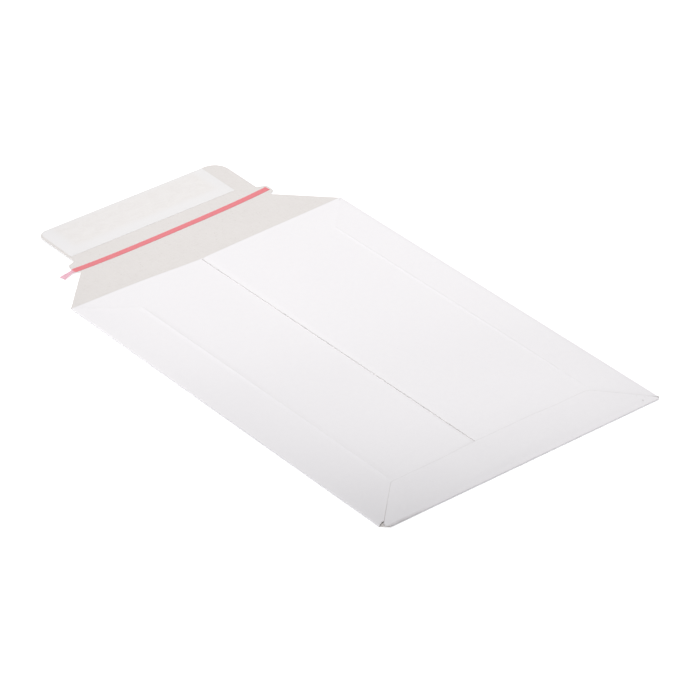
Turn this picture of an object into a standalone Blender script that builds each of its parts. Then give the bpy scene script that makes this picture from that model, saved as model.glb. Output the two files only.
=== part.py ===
# Cardboard shipping envelope for B4 papers, lying on its face with its closing flap open.
# The board is die-cut flat and folded: two side panels lap at a seam on the back, and a
# bottom flap is glued over them. The closing flap carries a tear strip and a peel-off liner.
# Metres, +Z up. Origin: centre of the pocket's underside. +Y points to the mouth, +X to the
# right of somebody who looks at the seam side with the mouth at the top.

import bpy
import bmesh
from math import atan2, cos, pi, radians, sin, tan
from mathutils import Vector

# Board and pocket
board = 0.0005                    # thickness of the solid board
pocket_width = 0.250              # outside, from side fold to side fold
pocket_length = 0.353             # outside, from bottom fold to mouth
pocket_gap = 0.0005               # room between front and back of the empty pocket
lip_dip_left = 0.0044             # how far the mouth edge falls from the left side to the seam
lip_dip_right = 0.0056            # and from the right side to the seam

# Seam of the two side panels
seam_x = -0.011                   # free edge of the upper, right-hand panel
seam_overlap = 0.025              # how far the left-hand panel runs on below it
panel_rise_run = 0.028            # length over which the upper panel climbs onto the lower one
glue_film = 0.0001                # thickness of a set glue line
bond_gap = 0.0002                 # clearance on each side of a glue line or tape
glue_inset = 0.003                # from a glue line to the panel edges beside it

# Bottom flap, folded up over the side panels
bottom_flap_depth = 0.0390        # from the bottom fold to the flap's free edge
bottom_flap_left = 0.038          # from the left side to the free edge's left corner
bottom_flap_right = 0.034         # from the right side to the free edge's right corner
bottom_flap_left_radius = 0.002
bottom_flap_right_radius = 0.009
flap_climb_run = 0.0065           # length over which the flap climbs onto the panels
panel_foot_gap = 0.005            # from the bottom fold to the side panels' lower edges
corner_cut_left = 0.005           # board cut away along the bottom fold at each corner
corner_cut_right = 0.001
slant_start_left = 0.0024         # from the bottom fold to where the flap's slanted ends begin
slant_start_right = 0.0015
flap_tip_reach = 0.0040           # how far the flap's left tip juts out over the cut corner
bottom_glue_inset = 0.012         # from the bottom glue line to the flap's edges

# Score lines for a filled pocket, pressed as low beads into the side panels
bead_width = 0.0016
bead_height = 0.00015
bead_left = 0.040                 # from the left side
bead_right = 0.0315               # from the right side
bead_mouth_end = 0.032            # where the beads turn to the mouth's corners
bead_flap_gap = 0.004             # from the bottom flap's edge to the beads' lower end
bead_corner_gap = 0.0025          # from the mouth's corners to the beads' upper end

# Closing flap, measured from its crease
mouth_ledge = 0.0015              # board that shows between the mouth's corners and the crease
hinge_gap = 0.0003                # clearance between pocket and closing flap
fold_clearance = 0.0003           # from the folded flap to the seam below it
rest_tilt = radians(0.8)          # how far the open flap stands off the table
shoulder_depth = 0.0363
neck_left = 0.0889                # from the middle to where the shoulders meet the ears
neck_right = 0.0868
ear_half_width = 0.0924
ear_step_left = 0.0009            # how much farther out the ears begin than the shoulders end
ear_step_right = 0.0027
ear_high = 0.0478
ear_radius = 0.0025
ear_low_radius = 0.002
tab_half_width = 0.085
tab_start = 0.0505                 # where the ears end and the tab's sides begin
flap_reach = 0.0985               # from the crease to the flap's edge
tab_left_radius = 0.009
tab_right_radius = 0.013

# Tear strip across the ears, with a loose tail to pull at on the left
strip_width = 0.005
strip_film = 0.00015
strip_middle = 0.0393             # distance of its middle from the crease
strip_bow = 0.0025                # how much nearer to the flap's edge its ends lie
strip_lean = 0.0020               # how much its right end rises and its left end falls
strip_margin = 0.0002             # from the strip to the left ear's outer edge
strip_margin_right = 0.0022
tail_length = 0.0137
tail_width = 0.0038
tail_droop = 0.0006
tail_swing = 0.0032               # how far the tail's tip leans towards the pocket
tail_notch = 0.0018

# Closing adhesive under its peel-off liner
liner_left = -0.083
liner_right = 0.069
liner_low = 0.0568
liner_edge_gap = 0.0004           # from the liner to the flap's edge
liner_film = 0.0001
adhesive_side = 0.011             # liner left free on its left
adhesive_end = 0.010              # liner left free on its right
adhesive_low = 0.0132             # liner left free towards the tear strip
adhesive_high = 0.0025            # liner left free towards the flap's edge

# Smoothness, and the rounding that positions on the blank may carry
tiny = 1e-6
fold_steps = 8
rise_steps = 6
corner_steps = 6
strip_steps = 24

# Folds and levels that follow. A level is the height of a sheet's middle plane.
bond = glue_film + 2 * bond_gap
layer = board + bond
base_level = board / 2
fold_radius = (pocket_gap + board) / 2
panel_level = base_level + 2 * fold_radius
seam_level = panel_level + layer

half_width = pocket_width / 2 - board / 2 - fold_radius         # flat part of the base
mouth_y = pocket_length / 2
bottom_y = -pocket_length / 2
base_bottom = bottom_y + board / 2 + fold_radius                # where the base starts to fold
panel_foot = base_bottom + panel_foot_gap
fold_length = pi * fold_radius
flap_edge_y = bottom_y + bottom_flap_depth

left_panel_edge = seam_x + seam_overlap
panel_rise_start = left_panel_edge + 2 * glue_inset
panel_rise_end = panel_rise_start + panel_rise_run
crown_left = seam_x - 2 * glue_inset                            # bottom flap's raised middle
crown_right = panel_rise_end - panel_rise_run / 2

hinge_y = mouth_y + mouth_ledge
hinge_z = (board + seam_level + board / 2 + fold_clearance) / 2
flap_face = board - hinge_z                                     # inner face in the hinge's frame


def smooth_step(value):
    value = min(max(value, 0.0), 1.0)
    return value * value * (3.0 - 2.0 * value)


def spaced(start, end, steps):
    return [start + (end - start) * i / steps for i in range(steps + 1)]


def rounded_outline(corners):
    """Outline through (x, y, radius) corners, with an arc at each corner that has a radius."""
    outline = []
    for i, (x, y, radius) in enumerate(corners):
        here = Vector((x, y))
        if radius <= 0:
            outline.append(here)
            continue
        before = (Vector(corners[i - 1][:2]) - here).normalized()
        after = (Vector(corners[(i + 1) % len(corners)][:2]) - here).normalized()
        half_angle = before.angle(after) / 2
        centre = here + (before + after).normalized() * (radius / sin(half_angle))
        first = here + before * (radius / tan(half_angle)) - centre
        last = here + after * (radius / tan(half_angle)) - centre
        start = atan2(first.y, first.x)
        sweep = (atan2(last.y, last.x) - start + pi) % (2 * pi) - pi
        for angle in spaced(start, start + sweep, corner_steps):
            outline.append(centre + Vector((cos(angle), sin(angle))) * radius)
    return outline


def flat_sheet(outline, cuts_x=(), cuts_y=()):
    """A flat sheet of the given outline, divided along lines of constant x and y."""
    sheet = bmesh.new()
    sheet.faces.new([sheet.verts.new((point[0], point[1], 0.0)) for point in outline])
    for axis, cuts in ((0, cuts_x), (1, cuts_y)):
        normal = Vector((0.0, 0.0, 0.0))
        normal[axis] = 1.0
        for cut in cuts:
            geometry = sheet.verts[:] + sheet.edges[:] + sheet.faces[:]
            bmesh.ops.bisect_plane(sheet, geom=geometry, dist=tiny / 10, plane_no=normal,
                                   plane_co=normal * cut)
    return sheet


def material(name, colour, roughness):
    shade = bpy.data.materials.new(name)
    shade.use_nodes = True
    surface = shade.node_tree.nodes["Principled BSDF"]
    surface.inputs["Base Color"].default_value = (*colour, 1.0)
    surface.inputs["Roughness"].default_value = roughness
    surface.inputs["Metallic"].default_value = 0.0
    return shade


def new_object(name, mesh_source, shade, parent=None):
    mesh = bpy.data.meshes.new(name)
    mesh_source.to_mesh(mesh)
    mesh_source.free()
    mesh.materials.append(shade)
    item = bpy.data.objects.new(name, mesh)
    item.parent = parent
    bpy.context.collection.objects.link(item)
    return item


def thicken(item, thickness):
    solid = item.modifiers.new("thickness", "SOLIDIFY")
    solid.thickness = thickness
    solid.offset = 0.0
    solid.use_even_offset = True


def panel_height(x):
    """Level of the right-hand panel, which climbs onto the left-hand one at the seam."""
    climb = smooth_step((panel_rise_end - x) / panel_rise_run)
    return panel_level + layer * climb


def bottom_flap_height(x, depth):
    """Level of the bottom flap, at a distance from the bottom fold."""
    left = smooth_step((x - crown_left + panel_rise_run) / panel_rise_run)
    right = smooth_step((crown_right + panel_rise_run - x) / panel_rise_run)
    lying = seam_level + layer * min(left, right)
    return panel_level + (lying - panel_level) * smooth_step(depth / flap_climb_run)


def fold_pocket(u, v):
    """Place of a point of the flat blank after folding."""
    side = 1.0 if u > 0.0 else -1.0
    run = abs(u) - half_width
    if run > tiny:
        if run < fold_length:
            angle = run / fold_radius
            x = half_width + fold_radius * sin(angle)
            return side * x, v, base_level + fold_radius * (1.0 - cos(angle))
        x = side * (half_width - (run - fold_length))
        return x, v, panel_height(x) if side > 0.0 else panel_level
    run = base_bottom - v
    if run < tiny:
        return u, v, base_level
    if run < fold_length:
        angle = run / fold_radius
        y = base_bottom - fold_radius * sin(angle)
        return u, y, base_level + fold_radius * (1.0 - cos(angle))
    depth = run - fold_length
    return u, base_bottom + depth, bottom_flap_height(u, depth)


def right_panel_u(x):
    return half_width + fold_length + half_width - x


def lip_y(x, side):
    """Mouth edge of a side panel: it falls from the side fold to the seam."""
    share = (half_width - side * x) / (half_width - side * seam_x)
    return mouth_y - (lip_dip_right if side > 0.0 else lip_dip_left) * share


def make_pocket():
    left_u = -(half_width + fold_length)
    left_end = left_u - (half_width + left_panel_edge)
    right_u = -left_u
    right_end = right_panel_u(seam_x)
    flap_v = base_bottom - fold_length
    flap_end = flap_v - (flap_edge_y - base_bottom)
    flap_left_x = -pocket_width / 2 + bottom_flap_left
    flap_right_x = pocket_width / 2 - bottom_flap_right
    root_left_x = -half_width + corner_cut_left
    tip_left_x = root_left_x - flap_tip_reach
    root_right_x = half_width - corner_cut_right
    ledge_y = hinge_y - hinge_gap / 2
    blank = rounded_outline([
        (half_width, ledge_y, 0.0),
        (-half_width, ledge_y, 0.0),
        (-half_width, mouth_y, 0.0),
        (left_u, mouth_y, 0.0),
        (left_end, lip_y(left_panel_edge, -1.0), 0.0),
        (left_end, panel_foot, 0.0),
        (-half_width, panel_foot, 0.0),
        (root_left_x, base_bottom, 0.0),
        (root_left_x, flap_v, 0.0),
        (tip_left_x, flap_v - slant_start_left, 0.0),
        (flap_left_x, flap_end, bottom_flap_left_radius),
        (flap_right_x, flap_end, bottom_flap_right_radius),
        (root_right_x, flap_v - slant_start_right, 0.0),
        (root_right_x, base_bottom, 0.0),
        (half_width, panel_foot, 0.0),
        (right_end, panel_foot, 0.0),
        (right_end, lip_y(seam_x, 1.0), 0.0),
        (right_u, mouth_y, 0.0),
        (half_width, mouth_y, 0.0),
    ])
    cuts_u = spaced(left_u, -half_width, fold_steps) + spaced(half_width, right_u, fold_steps)
    cuts_u += [right_panel_u(x) for x in spaced(panel_rise_start, panel_rise_end, rise_steps)]
    cuts_u += spaced(crown_left - panel_rise_run, crown_left, rise_steps)
    cuts_u += spaced(crown_right, crown_right + panel_rise_run, rise_steps)
    cuts_v = spaced(flap_v, base_bottom, fold_steps)
    cuts_v += spaced(flap_v - flap_climb_run, flap_v, rise_steps)
    sheet = flat_sheet(blank, cuts_u, cuts_v)
    for point in sheet.verts:
        point.co = fold_pocket(point.co.x, point.co.y)
    shade = material("white_coated_board", (0.90, 0.90, 0.91), 0.55)
    pocket = new_object("pocket", sheet, shade)
    thicken(pocket, board)
    beads = make_beads(shade)
    union = pocket.modifiers.new("beads", "BOOLEAN")
    union.operation = "UNION"
    union.solver = "EXACT"
    union.object = beads
    return pocket


def make_beads(shade):
    """Guide object with one bead for each side panel, half sunk into the board."""
    face = panel_level + board / 2
    lower = flap_edge_y + bead_flap_gap
    upper = mouth_y - bead_mouth_end
    bars = bmesh.new()
    for side, inset in ((-1.0, bead_left), (1.0, bead_right)):
        bend_x = side * (pocket_width / 2 - inset)
        corner_x = side * (half_width - bead_corner_gap)
        corner_y = lip_y(corner_x, side) - bead_corner_gap
        add_bar(bars, [(bend_x, lower), (bend_x, upper), (corner_x, corner_y)], face)
    beads = new_object("bead_guide", bars, shade)
    beads.hide_render = True
    beads.display_type = "WIRE"
    return beads


def add_bar(bars, path, face):
    """A flat-bottomed bar with a ridged top along a path, mitred at its bends."""
    points = [Vector(point) for point in path]
    rings = []
    for i, point in enumerate(points):
        steps = [points[i + 1] - point] if i == 0 else [point - points[i - 1]]
        if 0 < i < len(points) - 1:
            steps.append(points[i + 1] - point)
        across = [Vector((-step.y, step.x)).normalized() for step in steps]
        mitre = sum(across, Vector((0.0, 0.0))).normalized()
        reach = bead_width / 2 / mitre.dot(across[0])
        rings.append([bars.verts.new((point.x + mitre.x * share * reach,
                                      point.y + mitre.y * share * reach, face + height))
                      for share, height in ((-1.0, 0.0), (-1.0, -board / 2), (1.0, -board / 2),
                                            (1.0, 0.0), (0.0, bead_height))])
    for first, second in zip(rings, rings[1:]):
        for i in range(len(first)):
            j = (i + 1) % len(first)
            bars.faces.new((first[i], second[i], second[j], first[j]))
    bars.faces.new(rings[0])
    bars.faces.new(list(reversed(rings[-1])))
    bmesh.ops.recalc_face_normals(bars, faces=bars.faces[:])


def make_seam_glue():
    low = panel_foot + glue_inset
    high = lip_y(seam_x, 1.0) - glue_inset
    left = seam_x + glue_inset
    right = left_panel_edge - glue_inset
    sheet = flat_sheet([(left, low), (right, low), (right, high), (left, high)])
    for point in sheet.verts:
        point.co.z = panel_level + layer / 2
    glue = new_object("seam_glue", sheet, material("seam_glue", (0.80, 0.76, 0.62), 0.35))
    thicken(glue, glue_film)


def make_bottom_glue():
    low = base_bottom + bottom_glue_inset
    high = flap_edge_y - bottom_glue_inset
    left = -pocket_width / 2 + bottom_flap_left + bottom_glue_inset
    right = pocket_width / 2 - bottom_flap_right - bottom_glue_inset
    cuts = spaced(crown_left - panel_rise_run, crown_left, rise_steps)
    cuts += spaced(crown_right, crown_right + panel_rise_run, rise_steps)
    outline = [(left, low), (right, low), (right, high), (left, high)]
    sheet = flat_sheet(outline, cuts)
    for point in sheet.verts:
        depth = point.co.y - base_bottom
        point.co.z = bottom_flap_height(point.co.x, depth) - layer / 2
    glue = new_object("bottom_glue", sheet, material("bottom_glue", (0.80, 0.76, 0.62), 0.35))
    thicken(glue, glue_film)


def make_closing_flap(hinge):
    root = hinge_gap / 2
    outline = rounded_outline([
        (half_width, root, 0.0),
        (neck_right, shoulder_depth, ear_radius / 2),
        (ear_half_width, shoulder_depth + ear_step_right, ear_low_radius),
        (ear_half_width, ear_high, ear_radius),
        (tab_half_width, tab_start, ear_radius / 2),
        (tab_half_width, flap_reach, tab_right_radius),
        (-tab_half_width, flap_reach, tab_left_radius),
        (-tab_half_width, tab_start, ear_radius / 2),
        (-ear_half_width, ear_high, ear_radius),
        (-ear_half_width, shoulder_depth + ear_step_left, ear_low_radius),
        (-neck_left, shoulder_depth, ear_radius / 2),
        (-half_width, root, 0.0),
    ])
    sheet = flat_sheet(outline, cuts_y=(shoulder_depth, tab_start))
    for point in sheet.verts:
        point.co.z = flap_face - board / 2
    shade = material("grey_board_inside", (0.76, 0.74, 0.71), 0.85)
    flap = new_object("closing_flap", sheet, shade, hinge)
    thicken(flap, board)


def strip_centre(x):
    """Middle of the tear strip on the flap, and of its tail beyond the ear."""
    end = ear_half_width - strip_margin
    share = max(min(x / end, 1.0), -1.0)
    y = strip_middle + strip_lean * share + strip_bow * abs(share) ** 3
    z = flap_face + bond_gap + strip_film / 2
    past = max(-end - x, 0.0) / tail_length
    return Vector((x, y - tail_swing * past ** 1.3, z - tail_droop * smooth_step(past)))


def make_tear_strip(hinge):
    end = ear_half_width - strip_margin
    stations = spaced(ear_half_width - strip_margin_right, -end, strip_steps)
    stations += spaced(-end, -end - tail_length, rise_steps)[1:]
    strip = bmesh.new()
    rows = []
    for x in stations:
        centre = strip_centre(x)
        slope = (strip_centre(x + strip_width) - strip_centre(x - strip_width)).normalized()
        narrowing = smooth_step((-end - x) / tail_width)
        width = strip_width + (tail_width - strip_width) * narrowing
        side = Vector((-slope.y, slope.x, 0.0)).normalized() * width / 2
        rows.append([strip.verts.new(centre - side), strip.verts.new(centre),
                     strip.verts.new(centre + side)])
    notch_depth = Vector((tail_notch, 0.0, 0.0))
    rows[-1][1].co += notch_depth
    for first, second in zip(rows, rows[1:]):
        for i in (0, 1):
            strip.faces.new((first[i], first[i + 1], second[i + 1], second[i]))
    bmesh.ops.recalc_face_normals(strip, faces=strip.faces[:])
    shade = material("tear_strip", (0.80, 0.16, 0.20), 0.35)
    tape = new_object("tear_strip", strip, shade, hinge)
    thicken(tape, strip_film)


def make_closure(hinge):
    """The closing adhesive on the tab, and the liner that covers it."""
    liner_high = flap_reach - liner_edge_gap
    corner = max(tab_left_radius - (liner_left + tab_half_width), 0.0)
    liner_outline = rounded_outline([
        (liner_left, liner_low, 0.0),
        (liner_right, liner_low, 0.0),
        (liner_right, liner_high, 0.0),
        (liner_left, liner_high, corner),
    ])
    left = liner_left + adhesive_side
    right = liner_right - adhesive_end
    low = liner_low + adhesive_low
    high = liner_high - adhesive_high
    adhesive_outline = [(left, low), (right, low), (right, high), (left, high)]
    adhesive_z = flap_face + bond_gap + glue_film / 2
    liner_z = adhesive_z + glue_film / 2 + bond_gap + liner_film / 2
    for name, outline, z, film, colour in (
            ("closing_adhesive", adhesive_outline, adhesive_z, glue_film, (0.78, 0.72, 0.58)),
            ("release_liner", liner_outline, liner_z, liner_film, (0.90, 0.89, 0.87))):
        sheet = flat_sheet(outline)
        for point in sheet.verts:
            point.co.z = z
        item = new_object(name, sheet, material(name, colour, 0.4), hinge)
        thicken(item, film)


def make_hinge():
    hinge = bpy.data.objects.new("closing_hinge", None)
    hinge.location = (0.0, hinge_y, hinge_z)
    hinge.rotation_euler = (rest_tilt, 0.0, 0.0)
    bpy.context.collection.objects.link(hinge)
    return hinge


for old in list(bpy.data.objects):
    bpy.data.objects.remove(old, do_unlink=True)

make_pocket()
make_seam_glue()
make_bottom_glue()
crease = make_hinge()
make_closing_flap(crease)
make_tear_strip(crease)
make_closure(crease)
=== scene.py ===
# Looks of the cardboard envelope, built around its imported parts. Metres, +Z up.
from math import atan2, cos, pi, radians, sin, tan

import bmesh
import bpy
import numpy as np
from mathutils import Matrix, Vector, noise


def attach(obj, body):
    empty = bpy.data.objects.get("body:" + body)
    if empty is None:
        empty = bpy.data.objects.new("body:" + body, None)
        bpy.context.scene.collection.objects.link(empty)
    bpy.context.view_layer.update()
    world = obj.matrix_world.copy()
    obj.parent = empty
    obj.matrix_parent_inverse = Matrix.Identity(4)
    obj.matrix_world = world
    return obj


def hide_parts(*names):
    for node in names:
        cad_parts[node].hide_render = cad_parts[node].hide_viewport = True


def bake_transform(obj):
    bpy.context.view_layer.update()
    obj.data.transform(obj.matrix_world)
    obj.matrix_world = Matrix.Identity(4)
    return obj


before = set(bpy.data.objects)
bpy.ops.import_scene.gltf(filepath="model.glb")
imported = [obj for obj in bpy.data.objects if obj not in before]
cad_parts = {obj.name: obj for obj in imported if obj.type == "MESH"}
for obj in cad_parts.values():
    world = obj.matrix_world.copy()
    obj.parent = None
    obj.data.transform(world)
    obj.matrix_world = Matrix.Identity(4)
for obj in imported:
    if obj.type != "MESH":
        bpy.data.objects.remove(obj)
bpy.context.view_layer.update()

# Sizes as in part.py, which says what each of them is
board = 0.0005
pocket_width = 0.250
pocket_length = 0.353
pocket_gap = 0.0005
layer = 0.0010
lip_dip_left = 0.0044
lip_dip_right = 0.0056
seam_x = -0.011
seam_overlap = 0.025
glue_inset = 0.003
panel_rise_run = 0.028
bottom_flap_depth = 0.0390
bottom_flap_left = 0.038
bottom_flap_right = 0.034
bottom_flap_left_radius = 0.002
bottom_flap_right_radius = 0.009
corner_cut_left = 0.005
corner_cut_right = 0.001
flap_tip_reach = 0.0040
slant_start_left = 0.0024
slant_start_right = 0.0015
bead_left = 0.040
bead_right = 0.0315
bead_mouth_end = 0.032
bead_flap_gap = 0.004
bead_corner_gap = 0.0025
mouth_ledge = 0.0015
fold_clearance = 0.0003
rest_tilt = radians(0.8)
shoulder_depth = 0.0363
neck_left = 0.0889
neck_right = 0.0868
ear_half_width = 0.0924
ear_step_left = 0.0009
ear_step_right = 0.0027
ear_high = 0.0478
ear_radius = 0.0025
ear_low_radius = 0.002
tab_half_width = 0.085
tab_start = 0.0505
flap_reach = 0.0985
tab_left_radius = 0.009
tab_right_radius = 0.013
strip_width = 0.005
strip_middle = 0.0393
strip_bow = 0.0025
strip_lean = 0.0020
strip_margin = 0.0002
strip_margin_right = 0.0022
tail_length = 0.0137
tail_swing = 0.0032
liner_left = -0.083
liner_right = 0.069
liner_low = 0.0568
liner_edge_gap = 0.0004
liner_film = 0.0001

# Sizes that differ a little from part.py's, whose shapes are plainer
flap_climb_run = 0.011            # the bottom flap's climb onto the side panels
panel_foot_gap = 0.0065           # from the bottom fold up to the side panels' feet
bead_height = 0.00018             # of the score lines' ridges
strip_film = 0.00012              # thickness of the tear strip
tail_width = 0.0030               # where the loose tail leaves the ear
tail_notch = 0.0022               # in the tail's end
tail_droop = 0.0008               # how far the tail's end bends down

# Sizes of the shapes that part.py doesn't have
corner_foot_gap_left = 0.0045     # from the bottom fold up to the feet's outer corners
corner_foot_gap_right = 0.0012
foot_slant_left = 0.0035          # over this far from the side folds the feet slant
foot_slant_right = 0.0050
bead_half = 0.0007                # half the width of a score line's ridge
bead_fade_left = 0.65             # height of its slanted end, as a share
bead_fade_right = 0.35
puff = 0.0007                     # how far the empty pocket's left panel bulges
puff_run = 0.050                  # the bulge is full this far in from the panel's edges
puff_seam_gap = 0.003
lift_gap = 0.004                  # the panels rise from here on above the bottom flap
lift_run = 0.090
slack = 0.98                      # how far up its rise the loose right panel meets the left
wave = 0.00007                    # height of the panels' faint waves
wave_tightness = (16.0, 11.0)     # waves to the metre, across and along the pocket
wave_free_run = 0.02              # the waves fade out this close to the side folds
edge_press = 0.00042              # how far glued edges bend down onto the panel below
edge_press_run = 0.005
crease_run = 0.0015               # on each side of the crease
strip_lift = 0.00012              # from the closing flap's face to the film's middle
strip_wobble = 0.00005            # height of the film's unevenness
wobble_tightness = (90.0, 2.0)    # along the strip and across its half width
tail_end_width = 0.0052
tail_lift = 0.0003                # how far the tail rises where it leaves the ear
tail_curve = 1.3                  # power of the tail's swing, 1 for a straight tail
liner_lift = 0.00048              # from the closing flap's face to the liner's middle
liner_press = 0.00040             # how far the liner bends down beside the adhesive
liner_press_run = 0.006
liner_ripple = 0.00007            # height of the wrinkles over the adhesive
# Share, waves to the metre across and along, and seed of each layer of wrinkles
ripple_layers = ((1.0, 90.0, 150.0, 1.5), (0.5, 260.0, 330.0, 4.5))
# The wrinkles' area, and over what length they fade in from its edges
wrinkled_left, wrinkled_right = -0.074, 0.062
wrinkled_low, wrinkled_high = 0.0675, 0.0975
wrinkled_side_run, wrinkled_low_run, wrinkled_high_run = 0.005, 0.004, 0.003
# The adhesive as it shows through the liner, with a soft edge twice this wide
mottled_left, mottled_right = -0.072, 0.060
mottled_low, mottled_high = 0.0665, 0.0962
mottled_edge = 0.0040
tiny = 1e-6                       # lengths below this count as none

# Steps of the meshes
corner_steps = 10                 # round a corner of an outline
fold_steps = 8                    # round a fold and over the crease
press_steps = 6                   # over a pressed-down edge and over the flap's climb
bead_steps = 4                    # across a score line's ridge
panel_steps = 28                  # across a side panel
front_steps = 50                  # across the front panel
pocket_steps = 70                 # along the pocket
closing_flap_steps = 20
bottom_flap_steps = 14
strip_steps, strip_steps_across = 120, 4
tail_steps = 14
liner_steps_across, liner_steps_along = 76, 22
bead_cut_beside = 0.006           # the faces that a slanted score line cuts lie this close
bead_cut_before = 0.004           # beside it, before its start and past its end
bead_cut_past = 0.003

# Folds, levels and places that follow. The sheet's flat places are called u and v.
base_level = board / 2
fold_radius = (pocket_gap + board) / 2
fold_length = pi * fold_radius
panel_level = base_level + 2 * fold_radius
seam_level = panel_level + layer
half_width = pocket_width / 2 - board / 2 - fold_radius
mouth_y = pocket_length / 2
bottom_y = -mouth_y
base_bottom = bottom_y + board / 2 + fold_radius
panel_foot = base_bottom + panel_foot_gap
corner_foot_left = base_bottom + corner_foot_gap_left
corner_foot_right = base_bottom + corner_foot_gap_right
flap_v = base_bottom - fold_length
flap_edge_y = bottom_y + bottom_flap_depth
flap_end = flap_v - (flap_edge_y - base_bottom)
root_left_x = -half_width + corner_cut_left
tip_left_x = root_left_x - flap_tip_reach
root_right_x = half_width - corner_cut_right
flap_left_x = -pocket_width / 2 + bottom_flap_left
flap_right_x = pocket_width / 2 - bottom_flap_right
left_panel_edge = seam_x + seam_overlap
rise_end = left_panel_edge + 2 * glue_inset + panel_rise_run
crown_left = seam_x - 2 * glue_inset
crown_right = rise_end - panel_rise_run / 2
hinge_y = mouth_y + mouth_ledge
hinge_z = (board + seam_level + board / 2 + fold_clearance) / 2
flap_face = board - hinge_z
strip_end = ear_half_width - strip_margin
liner_high = flap_reach - liner_edge_gap


# Shapes

def smooth_step(value):
    value = min(max(value, 0.0), 1.0)
    return value * value * (3.0 - 2.0 * value)


def spaced(start, end, steps):
    return [start + (end - start) * i / steps for i in range(steps + 1)]


def uneven(x, y, tightness, seed):
    """Smooth noise, with tightness waves to the metre across and along."""
    return noise.noise(Vector((x * tightness[0], y * tightness[1], seed)))


def rounded_outline(corners):
    """The points of an outline from its corners, each an x, a y and a radius."""
    outline = []
    for i, (x, y, radius) in enumerate(corners):
        here = Vector((x, y))
        if radius <= 0:
            outline.append(here)
            continue
        before = (Vector(corners[i - 1][:2]) - here).normalized()
        after = (Vector(corners[(i + 1) % len(corners)][:2]) - here).normalized()
        half_angle = before.angle(after) / 2
        centre = here + (before + after).normalized() * (radius / sin(half_angle))
        first = here + before * (radius / tan(half_angle)) - centre
        last = here + after * (radius / tan(half_angle)) - centre
        start = atan2(first.y, first.x)
        sweep = (atan2(last.y, last.x) - start + pi) % (2 * pi) - pi
        for angle in spaced(start, start + sweep, corner_steps):
            outline.append(centre + Vector((cos(angle), sin(angle))) * radius)
    return outline


def flat_sheet(outline, cuts_x, cuts_y):
    """A flat face with the outline, cut at each x and then at each y."""
    sheet = bmesh.new()
    sheet.faces.new([sheet.verts.new((point[0], point[1], 0.0)) for point in outline])
    for axis, cuts in ((0, cuts_x), (1, cuts_y)):
        normal = Vector((0.0, 0.0, 0.0))
        normal[axis] = 1.0
        for cut in cuts:
            cut_sheet(sheet, sheet.faces[:], normal * cut, normal)
    return sheet


def cut_sheet(sheet, faces, place, normal):
    edges = list({edge for face in faces for edge in face.edges})
    points = list({point for face in faces for point in face.verts})
    bmesh.ops.bisect_plane(sheet, geom=points + edges + faces, dist=tiny / 10,
                           plane_no=normal, plane_co=place)


def rim_distances(flat, rims):
    """How far each point of the flat sheet lies from the sheet's nearest edge."""
    points = np.array([point.xy[:] for point in flat])
    nearest = np.full(len(points), 1.0)
    for start, end in rims:
        start, run = np.array(start), np.array(end) - np.array(start)
        share = np.clip((points - start) @ run / (run @ run), 0.0, 1.0)
        gap = np.linalg.norm(points - start - share[:, None] * run, axis=1)
        nearest = np.minimum(nearest, gap)
    return nearest


def add_object(name, data):
    item = bpy.data.objects.new(name, data)
    bpy.context.scene.collection.objects.link(item)
    return item


def solid_faces(sheet, count):
    """The faces of a solid with the sheet's points above and the same below, and for each
    face a mark: 0 above, 1 below and 2 on the rim."""
    faces, marks = [], []
    for face in sheet.faces:
        ring = [point.index for point in face.verts]
        faces.append(ring)
        marks.append(0)
        faces.append([i + count for i in reversed(ring)])
        marks.append(1)
        for loop in face.loops:
            if loop.edge.is_boundary:
                a, b = loop.vert.index, loop.link_loop_next.vert.index
                faces.append([b, a, a + count, b + count])
                marks.append(2)
    return faces, marks


def solid_object(name, sheet, places, thickness, shades):
    """A closed solid from a flat sheet: its points go to the given places, its upper side
    gets the first material, its lower side the second and its rim the last. Its points keep
    their flat place in the attribute blank, and their distance from the rim in rim."""
    bmesh.ops.triangulate(sheet, faces=[face for face in sheet.faces if len(face.verts) > 4])
    sheet.verts.index_update()
    flat = [point.co.copy() for point in sheet.verts]
    rims = [[point.co.xy[:] for point in edge.verts] for edge in sheet.edges if edge.is_boundary]
    rim = rim_distances(flat, rims)
    for point in sheet.verts:
        point.co = places(point.co.x, point.co.y)
    sheet.normal_update()
    half = thickness / 2
    above = [point.co + point.normal * half for point in sheet.verts]
    below = [point.co - point.normal * half for point in sheet.verts]
    faces, marks = solid_faces(sheet, len(flat))
    sheet.free()
    mesh = bpy.data.meshes.new(name)
    mesh.from_pydata(above + below, [], faces)
    for shade in shades:
        mesh.materials.append(shade)
    slots = [min(mark, len(shades) - 1) for mark in marks]
    mesh.polygons.foreach_set("material_index", slots)
    mesh.polygons.foreach_set("use_smooth", [mark < 2 for mark in marks])
    rim_edges = {frozenset(pair) for ring, mark in zip(faces, marks) if mark == 2
                 for pair in ((ring[0], ring[1]), (ring[2], ring[3]))}
    for edge in mesh.edges:
        edge.use_edge_sharp = frozenset(edge.vertices) in rim_edges
    blank = mesh.attributes.new("blank", "FLOAT_VECTOR", "POINT")
    blank.data.foreach_set("vector", [axis for height in (half, -half) for point in flat
                                      for axis in (point.x, point.y, height)])
    mesh.attributes.new("rim", "FLOAT", "POINT").data.foreach_set("value", np.tile(rim, 2))
    mesh.validate()
    return add_object(name, mesh)


# Materials

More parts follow.
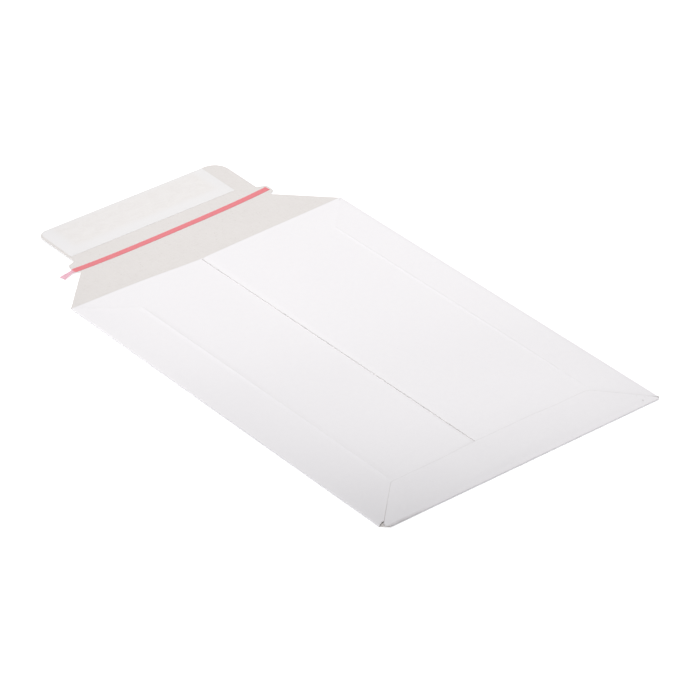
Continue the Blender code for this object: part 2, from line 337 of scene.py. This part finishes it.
coat_low, coat_high = (0.868, 0.853, 0.866), (0.882, 0.869, 0.878)
coat_mottle = (0.855, 0.840, 0.856)
coat_fleck = (0.80, 0.79, 0.79)
# Worn coat, also used for painted shade and painted shadow along some edges
coat_worn_and_painted_shade = (0.42, 0.39, 0.38)
grey_low, grey_high = (0.730, 0.700, 0.680), (0.762, 0.733, 0.712)
grey_fibres = (0.79, 0.765, 0.745)
grey_cross_fibres = (0.68, 0.645, 0.62)
grey_fleck = (0.60, 0.56, 0.53)
cut_low, cut_high = (0.74, 0.71, 0.685), (0.85, 0.83, 0.81)
cut_plies = (0.68, 0.64, 0.61)
cut_coat = (0.84, 0.84, 0.85)
film_low, film_high = (0.855, 0.215, 0.245), (0.885, 0.265, 0.295)
# Painted light from the floor showing through the loose tail
film_painted_backlight = (0.90, 0.52, 0.62)
liner_over_glue_low, liner_over_glue_high = (0.772, 0.745, 0.727), (0.820, 0.800, 0.786)
liner_speck = (0.845, 0.826, 0.812)
liner_border = (0.822, 0.812, 0.812)
liner_grain = (0.785, 0.770, 0.762)
hot_melt = (0.80, 0.76, 0.62)
closing_glue = (0.78, 0.72, 0.58)
glue_dark_share = 0.86


def set_inputs(tree, node, inputs):
    """Links an input to a given socket, or sets the input's own value to a given value."""
    for key, value in inputs.items():
        if isinstance(value, bpy.types.NodeSocket):
            tree.links.new(value, node.inputs[key])
        else:
            node.inputs[key].default_value = value


def add_node(tree, kind, inputs=None, **settings):
    node = tree.nodes.new(kind)
    for key, value in settings.items():
        setattr(node, key, value)
    set_inputs(tree, node, inputs or {})
    return node


def empty_tree(owner):
    owner.use_nodes = True
    owner.node_tree.nodes.clear()
    return owner.node_tree


class Shade:
    """A material with the few kinds of node that the envelope needs. Its patterns lie on the
    flat sheet, or else on the object as it is."""

    def __init__(self, name, on_blank=True):
        self.material = bpy.data.materials.new(name)
        self.material.use_nodes = True
        self.tree = self.material.node_tree
        self.surface = self.tree.nodes["Principled BSDF"]
        if on_blank:
            source = self.node("ShaderNodeAttribute", attribute_name="blank")
            self.place = source.outputs["Vector"]
        else:
            self.place = self.node("ShaderNodeTexCoord").outputs["Object"]

    def node(self, kind, inputs=None, **settings):
        return add_node(self.tree, kind, inputs, **settings)

    def feed(self, socket, value):
        set_inputs(self.tree, self.surface, {socket: value})

    def stretched(self, scale, turn=0.0):
        made = self.node("ShaderNodeMapping", {"Vector": self.place, "Scale": scale,
                                               "Rotation": (0.0, 0.0, turn)})
        return made.outputs["Vector"]

    def noise(self, scale, detail=3.0, roughness=0.5, place=None, distortion=0.0):
        made = self.node("ShaderNodeTexNoise", {
            "Vector": place or self.place, "Scale": scale, "Detail": detail,
            "Roughness": roughness, "Distortion": distortion})
        return made.outputs["Fac"]

    def cells(self, scale, place):
        made = self.node("ShaderNodeTexVoronoi", {"Vector": place, "Scale": scale},
                         feature="SMOOTH_F1")
        return made.outputs["Distance"]

    def ramp(self, value, start, end, at_start=0.0, at_end=1.0):
        made = self.node("ShaderNodeMapRange", {
            "Value": value, "From Min": start, "From Max": end,
            "To Min": at_start, "To Max": at_end}, interpolation_type="SMOOTHSTEP")
        return made.outputs["Result"]

    def math(self, operation, first, *others):
        """The operation on the first value and each of the others in turn."""
        for other in others:
            made = self.node("ShaderNodeMath", {0: first, 1: other}, operation=operation)
            first = made.outputs[0]
        return first

    def mix(self, share, first, second):
        """A mix of two colours, each a socket or red, green and blue."""
        inputs = {0: share}
        for index, colour in ((6, first), (7, second)):
            plain = isinstance(colour, tuple)
            inputs[index] = (*colour, 1.0) if plain else colour
        return self.node("ShaderNodeMix", inputs, data_type="RGBA").outputs[2]

    def rim(self):
        """How far the shaded point lies from the sheet's cut edge."""
        return self.node("ShaderNodeAttribute", attribute_name="rim").outputs["Fac"]

    def axis(self, name):
        return self.node("ShaderNodeSeparateXYZ", {"Vector": self.place}).outputs[name]

    def bumps(self, *layers):
        """Bumps from (height, depth in metres) pairs, one on top of the other."""
        last = None
        for height, depth in layers:
            inputs = {"Height": height, "Distance": depth, "Strength": 1.0}
            if last is not None:
                inputs["Normal"] = last
            last = self.node("ShaderNodeBump", inputs).outputs["Normal"]
        self.feed("Normal", last)


def worn_and_painted_shade(shade):
    """Where the coat is darkened: a line along every cut edge, partly worn coat and partly
    painted shadow of the edge's step; painted shadow at the bottom flap's left end; rubbed
    spots at its right corner; and painted shade on the bottom fold at the left."""
    x, y, rim = shade.axis("X"), shade.axis("Y"), shade.rim()
    patchy = shade.noise(120.0, 3.0, 0.6)
    fray = shade.math("ADD", rim, shade.ramp(patchy, 0.3, 0.7, at_end=0.0002))
    # A darker line along every cut edge: partly worn coat, partly painted shadow of the edge's
    # step
    every_edge = shade.ramp(fray, 0.0006, 0.0002, at_end=0.22)

    # Painted shadow along the bottom flap's left end, fading upwards
    near_edge = shade.ramp(fray, 0.0008, 0.0003)
    past_fold = shade.ramp(y, flap_v - 0.001, flap_v - 0.003)
    at_left = shade.ramp(x, flap_left_x + 0.003, flap_left_x - 0.003)
    less_upwards = shade.ramp(y, flap_v - 0.010, flap_v - 0.024, 0.75, 0.35)
    left_end = shade.math("MULTIPLY", near_edge, past_fold, at_left, less_upwards)

    at_right = shade.ramp(x, 0.104, 0.114)
    below_fold = shade.ramp(y, base_bottom + 0.001, base_bottom - 0.001)
    spots = shade.ramp(shade.noise(520.0, 2.0), 0.66, 0.72, at_end=0.6)
    right_corner = shade.math("MULTIPLY", at_right, below_fold, spots)

    # Painted shade on the bottom fold at the left
    at_left = shade.ramp(x, -0.080, -0.112)
    over_fold = shade.ramp(y, flap_v - 0.0020, flap_v)
    patches = shade.ramp(patchy, 0.25, 0.65, 0.18, 0.36)
    under_fold = shade.ramp(y, base_bottom + 0.001, base_bottom)
    fold = shade.math("MULTIPLY", at_left, over_fold, patches, under_fold)
    return shade.math("MAXIMUM", every_edge, left_end, fold, right_corner)


def white_board():
    shade = Shade("white_coated_board")
    cloud = shade.noise(22.0, 3.0)
    mottle = shade.noise(260.0, 4.0, 0.6)
    grain = shade.noise(1500.0, 3.0, 0.65)
    fleck = shade.ramp(shade.noise(900.0, 1.0, 0.4), 0.76, 0.80)
    tone = shade.mix(cloud, coat_low, coat_high)
    tone = shade.mix(shade.ramp(mottle, 0.3, 0.7, at_end=0.35), tone, coat_mottle)
    tone = shade.mix(fleck, tone, coat_fleck)
    # The coat darkened by wear, and by painted shade and painted shadow along some edges
    shade.feed("Base Color", shade.mix(worn_and_painted_shade(shade), tone, coat_worn_and_painted_shade))
    shade.feed("Roughness", shade.ramp(mottle, 0.25, 0.75, 0.58, 0.70))
    shade.feed("Specular IOR Level", 0.22)
    shade.bumps((cloud, 0.00006), (mottle, 0.000006), (grain, 0.000004))
    return shade.material


def grey_board():
    shade = Shade("grey_board_inside")
    cloud = shade.noise(30.0, 3.0)
    fibres = shade.noise(700.0, 4.0, 0.65, shade.stretched((1.0, 0.22, 1.0), 0.5), 0.6)
    cross = shade.noise(600.0, 4.0, 0.65, shade.stretched((0.25, 1.0, 1.0), 0.3), 0.8)
    fleck = shade.ramp(shade.noise(1100.0, 2.0, 0.5), 0.66, 0.74)
    tone = shade.mix(cloud, grey_low, grey_high)
    tone = shade.mix(shade.ramp(fibres, 0.35, 0.68, at_end=0.4), tone, grey_fibres)
    tone = shade.mix(shade.ramp(cross, 0.5, 0.75, at_end=0.35), tone, grey_cross_fibres)
    shade.feed("Base Color", shade.mix(fleck, tone, grey_fleck))
    shade.feed("Roughness", shade.ramp(fibres, 0.2, 0.8, 0.78, 0.92))
    shade.feed("Specular IOR Level", 0.25)
    shade.bumps((cloud, 0.0002), (fibres, 0.00004), (cross, 0.00003))
    return shade.material


def raw_edge():
    """The board's cut edge: torn plies, with the white coat as a thin line outside."""
    shade = Shade("board_cut_edge")
    torn = shade.noise(900.0, 4.0, 0.7)
    plies = shade.noise(1.0, 2.0, 0.5, shade.stretched((150.0, 150.0, 9000.0)))
    past_coat = shade.ramp(shade.axis("Z"), -board * 0.50, -board * 0.36)
    tone = shade.mix(torn, cut_low, cut_high)
    tone = shade.mix(shade.ramp(plies, 0.4, 0.65, at_end=0.4), tone, cut_plies)
    shade.feed("Base Color", shade.mix(past_coat, cut_coat, tone))
    shade.feed("Roughness", shade.ramp(torn, 0.2, 0.8, 0.85, 0.97))
    shade.bumps((torn, 0.00008), (plies, 0.00003))
    return shade.material


def red_film():
    """The tear strip's film, paler where its tail has nothing behind it: painted light from the
    bright floor showing through the film.
    """
    shade = Shade("tear_strip_film")
    stretch = shade.noise(160.0, 3.0, 0.5, shade.stretched((1.0, 6.0, 1.0)))
    fine = shade.noise(1200.0, 2.0)
    # Past the ear the tail gets painted light showing through it
    loose = shade.ramp(shade.axis("X"), -ear_half_width, -ear_half_width - 0.002)
    tone = shade.mix(stretch, film_low, film_high)
    shade.feed("Base Color", shade.mix(loose, tone, film_painted_backlight))
    shade.feed("Roughness", shade.ramp(fine, 0.2, 0.8, 0.34, 0.46))
    shade.feed("Specular IOR Level", 0.3)
    shade.feed("Alpha", 0.86)
    shade.bumps((stretch, 0.00002), (fine, 0.000005))
    return shade.material


def liner_paper():
    """The liner's paper, mottled where the adhesive shows through it."""
    shade = Shade("liner_paper")
    x, y, edge = shade.axis("X"), shade.axis("Y"), mottled_edge
    inside = shade.math("MULTIPLY", *[shade.ramp(value, start, end) for value, start, end in (
        (x, mottled_left - edge, mottled_left + edge),
        (x, mottled_right + edge, mottled_right - edge),
        (y, mottled_low - edge, mottled_low + edge),
        (y, mottled_high + edge, mottled_high - edge))])
    blotch = shade.noise(170.0, 5.0, 0.7, shade.stretched((0.6, 1.0, 1.0)), 0.4)
    creases = shade.cells(210.0, shade.stretched((0.6, 1.0, 1.0)))
    grain = shade.noise(1400.0, 3.0)
    speck = shade.noise(620.0, 3.0, 0.7)
    tone = shade.mix(shade.ramp(blotch, 0.25, 0.75), liner_over_glue_low, liner_over_glue_high)
    tone = shade.mix(shade.ramp(speck, 0.3, 0.7, at_end=0.5), tone, liner_speck)
    tone = shade.mix(inside, liner_border, tone)
    tone = shade.mix(shade.ramp(grain, 0.3, 0.7, at_end=0.2), tone, liner_grain)
    shade.feed("Base Color", tone)
    shade.feed("Roughness", shade.ramp(blotch, 0.2, 0.8, 0.50, 0.65))
    shade.feed("Specular IOR Level", 0.25)
    shade.bumps((shade.math("MULTIPLY", inside, blotch), 0.00005),
                (shade.math("MULTIPLY", inside, creases), 0.00003), (grain, 0.000004))
    return shade.material


def glue(name, colour):
    shade = Shade(name, on_blank=False)
    ripple = shade.noise(240.0, 3.0, 0.55, distortion=0.5)
    fine = shade.noise(1300.0, 2.0)
    darker = tuple(part * glue_dark_share for part in colour)
    shade.feed("Base Color", shade.mix(ripple, darker, colour))
    shade.feed("Roughness", shade.ramp(fine, 0.2, 0.8, 0.30, 0.48))
    shade.bumps((ripple, 0.00006), (fine, 0.00001))
    return shade.material


# The board: one die-cut sheet, folded. Its side is -1 at the left and 1 at the right.

def lip_y(x, side):
    """Height of a side panel's mouth edge."""
    share = (half_width - side * x) / (half_width - side * seam_x)
    return mouth_y - (lip_dip_right if side > 0.0 else lip_dip_left) * share


def panel_u(x, side):
    """Where a place on a folded side panel lies on the flat sheet."""
    return side * (half_width + fold_length + half_width - side * x)


right_u = half_width + fold_length
left_u = -right_u
right_end_u = panel_u(seam_x, 1.0)
left_end_u = panel_u(left_panel_edge, -1.0)


def bead_paths():
    """The score lines of the side panels, as (side, points) on the folded pocket."""
    lower = flap_edge_y + bead_flap_gap
    upper = mouth_y - bead_mouth_end
    for side, inset in ((-1.0, bead_left), (1.0, bead_right)):
        bend_x = side * (pocket_width / 2 - inset)
        corner_x = side * (half_width - bead_corner_gap)
        corner_y = lip_y(corner_x, side) - bead_corner_gap
        yield side, [Vector((bend_x, lower)), Vector((bend_x, upper)),
                     Vector((corner_x, corner_y))]


beads = dict(bead_paths())


def bead(x, y, side):
    """Height of the score lines' ridges at a point of a side panel."""
    here, height = Vector((x, y)), 0.0
    depths = (bead_height, bead_height * (bead_fade_left if side < 0.0 else bead_fade_right))
    for start, end, depth in zip(beads[side], beads[side][1:], depths):
        run = end - start
        along = min(max((here - start).dot(run) / run.length_squared, 0.0), 1.0)
        gap = (here - start - run * along).length
        height = max(height, depth * cos(min(gap / bead_half, 1.0) * pi / 2) ** 2)
    return height


def panel_z(x, y, side):
    """Level of a side panel: the left one bulges, and the right one rises to lap over it."""
    lifted = smooth_step((y - flap_edge_y - lift_gap) / lift_run)
    if side < 0.0:
        arch = smooth_step((x + half_width) / puff_run)
        arch *= smooth_step((seam_x - puff_seam_gap - x) / puff_run)
        height = panel_level + puff * arch * lifted
    else:
        packed = smooth_step((rise_end - x) / panel_rise_run)
        loose = smooth_step((half_width - x) / (half_width - left_panel_edge) * slack)
        height = panel_level + layer * (packed + (max(loose, packed) - packed) * lifted)
        height -= edge_press * (1.0 - smooth_step((x - seam_x) / edge_press_run))
    free = smooth_step((half_width - abs(x)) / wave_free_run)
    waves = wave * uneven(x, y, wave_tightness, 3.0 + side)
    return height + waves * free * lifted + bead(x, y, side)


def flap_end_distance(x, depth):
    """How far a point of the bottom flap lies from the nearest of its free edges."""
    reach = flap_edge_y - base_bottom
    nearest = reach - depth
    for corner_x, root_x, start in ((flap_left_x, tip_left_x, slant_start_left),
                                    (flap_right_x, root_right_x, slant_start_right)):
        root = Vector((root_x, start))
        run = (Vector((corner_x, reach)) - root).normalized()
        offset = Vector((x, depth)) - root
        nearest = min(nearest, abs(run.x * offset.y - run.y * offset.x))
    return max(nearest, 0.0)


def bottom_flap_z(x, depth):
    """Level of the bottom flap, which climbs onto the side panels and over their lap."""
    left = smooth_step((x - crown_left + panel_rise_run) / panel_rise_run)
    right = smooth_step((crown_right + panel_rise_run - x) / panel_rise_run)
    lying = seam_level + layer * min(left, right)
    lying -= edge_press * (1.0 - smooth_step(flap_end_distance(x, depth) / edge_press_run))
    return panel_level + (lying - panel_level) * smooth_step(depth / flap_climb_run)


def on_flap(x, reach, height):
    """A point over the closing flap: reach from the crease, height over its inner face."""
    angle = rest_tilt * smooth_step((reach + crease_run) / (2 * crease_run))
    level = flap_face + height
    return Vector((x, hinge_y + reach * cos(angle) - level * sin(angle),
                   hinge_z + reach * sin(angle) + level * cos(angle)))


def round_fold(run):
    """How far out and how high a point is that lies this far round a fold."""
    angle = run / fold_radius
    return fold_radius * sin(angle), base_level + fold_radius * (1.0 - cos(angle))


def fold_board(u, v):
    """Where a point of the flat sheet lies on the folded envelope."""
    side = 1.0 if u > 0.0 else -1.0
    run = abs(u) - half_width
    if v > hinge_y - crease_run:
        return on_flap(u, v - hinge_y, -board / 2)
    if run > tiny:
        if run < fold_length:
            out, level = round_fold(run)
            return Vector((side * (half_width + out), v, level))
        x = side * (half_width - (run - fold_length))
        return Vector((x, v, panel_z(x, v, side)))
    run = base_bottom - v
    if run < tiny:
        return Vector((u, v, base_level))
    if run < fold_length:
        out, level = round_fold(run)
        return Vector((u, base_bottom - out, level))
    depth = run - fold_length
    return Vector((u, base_bottom + depth, bottom_flap_z(u, depth)))


def board_outline():
    """The flat sheet's outline: closing flap, left panel, bottom flap, right panel."""
    shoulder = hinge_y + shoulder_depth
    return rounded_outline([
        (half_width, hinge_y, 0.0),
        (neck_right, shoulder, ear_radius / 2),
        (ear_half_width, shoulder + ear_step_right, ear_low_radius),
        (ear_half_width, hinge_y + ear_high, ear_radius),
        (tab_half_width, hinge_y + tab_start, ear_radius / 2),
        (tab_half_width, hinge_y + flap_reach, tab_right_radius),
        (-tab_half_width, hinge_y + flap_reach, tab_left_radius),
        (-tab_half_width, hinge_y + tab_start, ear_radius / 2),
        (-ear_half_width, hinge_y + ear_high, ear_radius),
        (-ear_half_width, shoulder + ear_step_left, ear_low_radius),
        (-neck_left, shoulder, ear_radius / 2),
        (-half_width, hinge_y, 0.0),
        (-half_width, mouth_y, 0.0),
        (left_u, mouth_y, 0.0),
        (left_end_u, lip_y(left_panel_edge, -1.0), 0.0),
        (left_end_u, panel_foot, 0.0),
        (panel_u(foot_slant_left - half_width, -1.0), panel_foot, 0.0),
        (left_u, corner_foot_left, 0.0),
        (-half_width, corner_foot_left, 0.0),
        (root_left_x, base_bottom, 0.0),
        (root_left_x, flap_v, 0.0),
        (tip_left_x, flap_v - slant_start_left, 0.0),
        (flap_left_x, flap_end, bottom_flap_left_radius),
        (flap_right_x, flap_end, bottom_flap_right_radius),
        (root_right_x, flap_v - slant_start_right, 0.0),
        (root_right_x, base_bottom, 0.0),
        (half_width, corner_foot_right, 0.0),
        (right_u, corner_foot_right, 0.0),
        (panel_u(half_width - foot_slant_right, 1.0), panel_foot, 0.0),
        (right_end_u, panel_foot, 0.0),
        (right_end_u, lip_y(seam_x, 1.0), 0.0),
        (right_u, mouth_y, 0.0),
        (half_width, mouth_y, 0.0),
    ])


def board_cuts():
    """The places across and along the flat sheet at which its mesh is cut."""
    across = spaced(left_u, -half_width, fold_steps) + spaced(half_width, right_u, fold_steps)
    across += spaced(left_end_u, left_u, panel_steps)[1:-1]
    across += spaced(right_u, right_end_u, panel_steps)[1:-1]
    across += spaced(-half_width, half_width, front_steps)[1:-1]
    across += spaced(right_end_u - edge_press_run, right_end_u, press_steps)[:-1]
    for side, path in beads.items():
        middle = panel_u(path[0].x, side)
        across += spaced(middle - bead_half, middle + bead_half, bead_steps)
    climb_end = flap_v - flap_climb_run
    along = spaced(flap_v, base_bottom, fold_steps) + spaced(climb_end, flap_v, press_steps)[:-1]
    along += spaced(hinge_y - crease_run, hinge_y + crease_run, fold_steps)
    along += spaced(base_bottom, mouth_y, pocket_steps)[1:-1]
    along += spaced(hinge_y + crease_run, hinge_y + flap_reach, closing_flap_steps)[1:-1]
    along += spaced(flap_end, climb_end, bottom_flap_steps)[1:-1]
    along += spaced(flap_end, flap_end + edge_press_run, press_steps)[1:]
    return across, along


def faces_along(sheet, start, end):
    """The faces beside a line on the flat sheet."""
    length, run = (end - start).length, (end - start).normalized()
    across = Vector((-run.y, run.x))
    near = []
    for face in sheet.faces:
        offset = face.calc_center_median().xy - start
        if (abs(offset.dot(across)) < bead_cut_beside
                and -bead_cut_before < offset.dot(run) < length + bead_cut_past):
            near.append(face)
    return near


def make_board():
    sheet = flat_sheet(board_outline(), *board_cuts())
    for side, path in beads.items():
        start, end = (Vector((panel_u(point.x, side), point.y)) for point in path[1:])
        run = (end - start).normalized()
        across = Vector((-run.y, run.x, 0.0))
        for offset in spaced(-bead_half, bead_half, bead_steps):
            near = faces_along(sheet, start, end)
            cut_sheet(sheet, near, start.to_3d() + across * offset, across)
    piece = solid_object("board", sheet, fold_board, board,
                         [grey_board(), white_board(), raw_edge()])
    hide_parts("pocket", "closing_flap")
    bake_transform(piece)


# The pieces on the closing flap, and the glue

def strip_centre(x):
    """The strip's middle line, and how far along the loose tail it is, from 0 to 1."""
    share = max(min(x / strip_end, 1.0), -1.0)
    y = strip_middle + strip_lean * share + strip_bow * abs(share) ** 3
    past = max(-strip_end - x, 0.0) / tail_length
    return Vector((x, y - tail_swing * past ** tail_curve)), past


def strip_side(x, past, reach=0.003):
    """From the strip's middle line to its edge. Its direction is taken over reach."""
    slope = (strip_centre(x + reach)[0] - strip_centre(x - reach)[0]).normalized()
    narrowed = smooth_step((-strip_end - x) / tail_width)
    width = strip_width + (tail_width - strip_width) * narrowed
    width += (tail_end_width - tail_width) * smooth_step(past)
    return Vector((-slope.y, slope.x)) * width / 2


def make_tear_strip():
    rows = spaced(ear_half_width - strip_margin_right, -strip_end, strip_steps)
    rows += spaced(-strip_end, -strip_end - tail_length, tail_steps)[1:]
    shares = spaced(-1.0, 1.0, strip_steps_across)
    sheet = bmesh.new()
    places, points = {}, []
    for x in rows:
        centre, past = strip_centre(x)
        side = strip_side(x, past)
        row = []
        for share in shares:
            spot = centre + side * share
            if x == rows[-1]:
                spot.x += tail_notch * (1.0 - abs(share))
            wobble = strip_wobble * uneven(x, share, wobble_tightness, 5.0)
            height = strip_lift + wobble + tail_lift * smooth_step(past)
            height -= tail_droop * past * past
            point = sheet.verts.new((spot.x, spot.y, 0.0))
            places[(point.co.x, point.co.y)] = on_flap(spot.x, spot.y, height)
            row.append(point)
        points.append(row)
    for first, second in zip(points, points[1:]):
        for i in range(len(shares) - 1):
            sheet.faces.new((first[i], first[i + 1], second[i + 1], second[i]))
    bmesh.ops.recalc_face_normals(sheet, faces=sheet.faces[:])
    piece = solid_object("tear_strip_film", sheet, lambda x, y: places[(x, y)], strip_film,
                         [red_film()])
    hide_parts("tear_strip")
    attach(piece, "flap_body")


def on_liner(x, y):
    """A point of the liner, wrinkled over the adhesive and pressed down around it."""
    ripple = sum(share * uneven(x, y, tightness, seed)
                 for share, *tightness, seed in ripple_layers)
    inside = 1.0
    for gap, run in ((x - wrinkled_left, wrinkled_side_run),
                     (wrinkled_right - x, wrinkled_side_run),
                     (y - wrinkled_low, wrinkled_low_run),
                     (wrinkled_high - y, wrinkled_high_run)):
        inside *= smooth_step(gap / run)
    edge = min(x - liner_left, liner_right - x, y - liner_low, liner_high - y)
    down = liner_press * (1.0 - smooth_step(edge / liner_press_run))
    return on_flap(x, y, liner_lift + liner_ripple * ripple * inside - down * (1.0 - inside))


def make_liner():
    corner = max(tab_left_radius - (liner_left + tab_half_width), 0.0)
    outline = rounded_outline([(liner_left, liner_low, 0.0), (liner_right, liner_low, 0.0),
                               (liner_right, liner_high, 0.0), (liner_left, liner_high, corner)])
    sheet = flat_sheet(outline, spaced(liner_left, liner_right, liner_steps_across)[1:-1],
                       spaced(liner_low, liner_high, liner_steps_along)[1:-1])
    piece = solid_object("liner", sheet, on_liner, liner_film, [liner_paper()])
    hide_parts("release_liner")
    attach(piece, "flap_body")


def dress_glue():
    for name, colour in (("seam_glue", hot_melt), ("bottom_glue", hot_melt),
                         ("closing_adhesive", closing_glue)):
        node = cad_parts[name]
        node.data.materials.clear()
        node.data.materials.append(glue(name + "_set", colour))


# Floor, light and camera

floor_colour = (0.88, 0.88, 0.89, 1.0)
floor_reach = 6.0
floor_gap = 0.00005               # between the floor and the envelope
glow_near, glow_far = 0.28, 0.60  # the floor's glow grows between these distances
glow_low, glow_high = 0.56, 0.72
sky_colour, sky_strength = (0.965, 0.965, 1.0, 1.0), 0.355
backdrop_colour, backdrop_strength = (1.0, 1.0, 1.0, 1.0), 1.0

# Kind, name, place, target, power, colour and shape of each lamp
lamps = (
    ("SPOT", "key", (0.8, 0.8, 2.6), (0.135, 0.150, 0.0), 195.0, (1.0, 0.99, 0.975),
     {"spot_size": 0.372, "spot_blend": 0.92, "shadow_soft_size": 0.06}),
    ("AREA", "fill", (-2.7, -0.9, 0.8), (0.0, 0.0, 0.0), 32.0, (0.99, 0.99, 1.0),
     {"shape": "DISK", "size": 1.6}),
    ("SPOT", "side", (-1.5, 0.45, 0.45), (-0.14, 0.17, 0.0), 14.0, (1.0, 0.99, 1.0),
     {"spot_size": 0.24, "spot_blend": 1.0, "shadow_soft_size": 0.05}),
    ("SPOT", "corner", (1.45, -0.95, 0.5), (0.085, -0.175, 0.0), 19.0, (1.0, 0.99, 1.0),
     {"spot_size": 0.115, "spot_blend": 1.0, "shadow_soft_size": 0.03}),
)


def seen_directly(tree):
    """A value of 1 for camera, glossy and transmission rays, and 0 for the rest."""
    path = add_node(tree, "ShaderNodeLightPath")
    value = path.outputs["Is Camera Ray"]
    for other in ("Is Glossy Ray", "Is Transmission Ray"):
        either = add_node(tree, "ShaderNodeMath", {0: value, 1: path.outputs[other]},
                          operation="MAXIMUM")
        value = either.outputs[0]
    return value


def make_floor():
    """A plain pale floor that keeps the envelope's shadow and fades into the backdrop."""
    reach = floor_reach
    mesh = bpy.data.meshes.new("floor")
    mesh.from_pydata([(-reach, -reach, 0.0), (reach, -reach, 0.0), (reach, reach, 0.0),
                      (-reach, reach, 0.0)], [], [(0, 1, 2, 3)])
    floor = add_object("floor", mesh)
    floor.location.z = -floor_gap
    shade = bpy.data.materials.new("floor_pale")
    tree = empty_tree(shade)
    place = add_node(tree, "ShaderNodeTexCoord").outputs["Object"]
    away = add_node(tree, "ShaderNodeVectorMath", {0: place}, operation="LENGTH")
    fading = add_node(tree, "ShaderNodeMapRange", {
        "Value": away.outputs["Value"], "From Min": glow_near, "From Max": glow_far,
        "To Min": glow_low, "To Max": glow_high})
    lift = add_node(tree, "ShaderNodeMath", {0: seen_directly(tree),
                                             1: fading.outputs["Result"]}, operation="MULTIPLY")
    matt = add_node(tree, "ShaderNodeBsdfDiffuse", {"Color": floor_colour})
    glow = add_node(tree, "ShaderNodeEmission", {"Strength": lift.outputs[0]})
    total = add_node(tree, "ShaderNodeAddShader", {0: matt.outputs[0], 1: glow.outputs[0]})
    add_node(tree, "ShaderNodeOutputMaterial", {"Surface": total.outputs[0]})
    mesh.materials.append(shade)


def make_world():
    """Soft light from all round, and white where the backdrop is seen."""
    world = bpy.data.worlds.new("studio")
    tree = empty_tree(world)
    soft = add_node(tree, "ShaderNodeBackground", {"Color": sky_colour, "Strength": sky_strength})
    white = add_node(tree, "ShaderNodeBackground", {"Color": backdrop_colour,
                                                    "Strength": backdrop_strength})
    both = add_node(tree, "ShaderNodeMixShader", {0: seen_directly(tree), 1: soft.outputs[0],
                                                  2: white.outputs[0]})
    add_node(tree, "ShaderNodeOutputWorld", {"Surface": both.outputs[0]})
    bpy.context.scene.world = world


def make_light(kind, name, place, target, power, colour, settings):
    lamp = bpy.data.lights.new(name, kind)
    lamp.energy = power
    lamp.color = colour
    for key, value in settings.items():
        setattr(lamp, key, value)
    item = add_object(name, lamp)
    item.location = place
    item.rotation_euler = (Vector(target) - Vector(place)).to_track_quat("-Z", "Y").to_euler()


def make_camera():
    """The camera at the photo's angle, without roll."""
    data = bpy.data.cameras.new("camera")
    data.lens = 203.5
    data.sensor_width = 36.0
    camera = add_object("camera", data)
    camera.location = (-1.4910, -1.8171, 1.5193)
    camera.rotation_euler = (radians(57.18), 0.0, radians(-39.18))
    bpy.context.scene.camera = camera


make_board()
make_tear_strip()
make_liner()
dress_glue()
make_floor()
make_world()
for lamp in lamps:
    make_light(*lamp)
make_camera()
bpy.context.scene.view_settings.view_transform = "Standard"
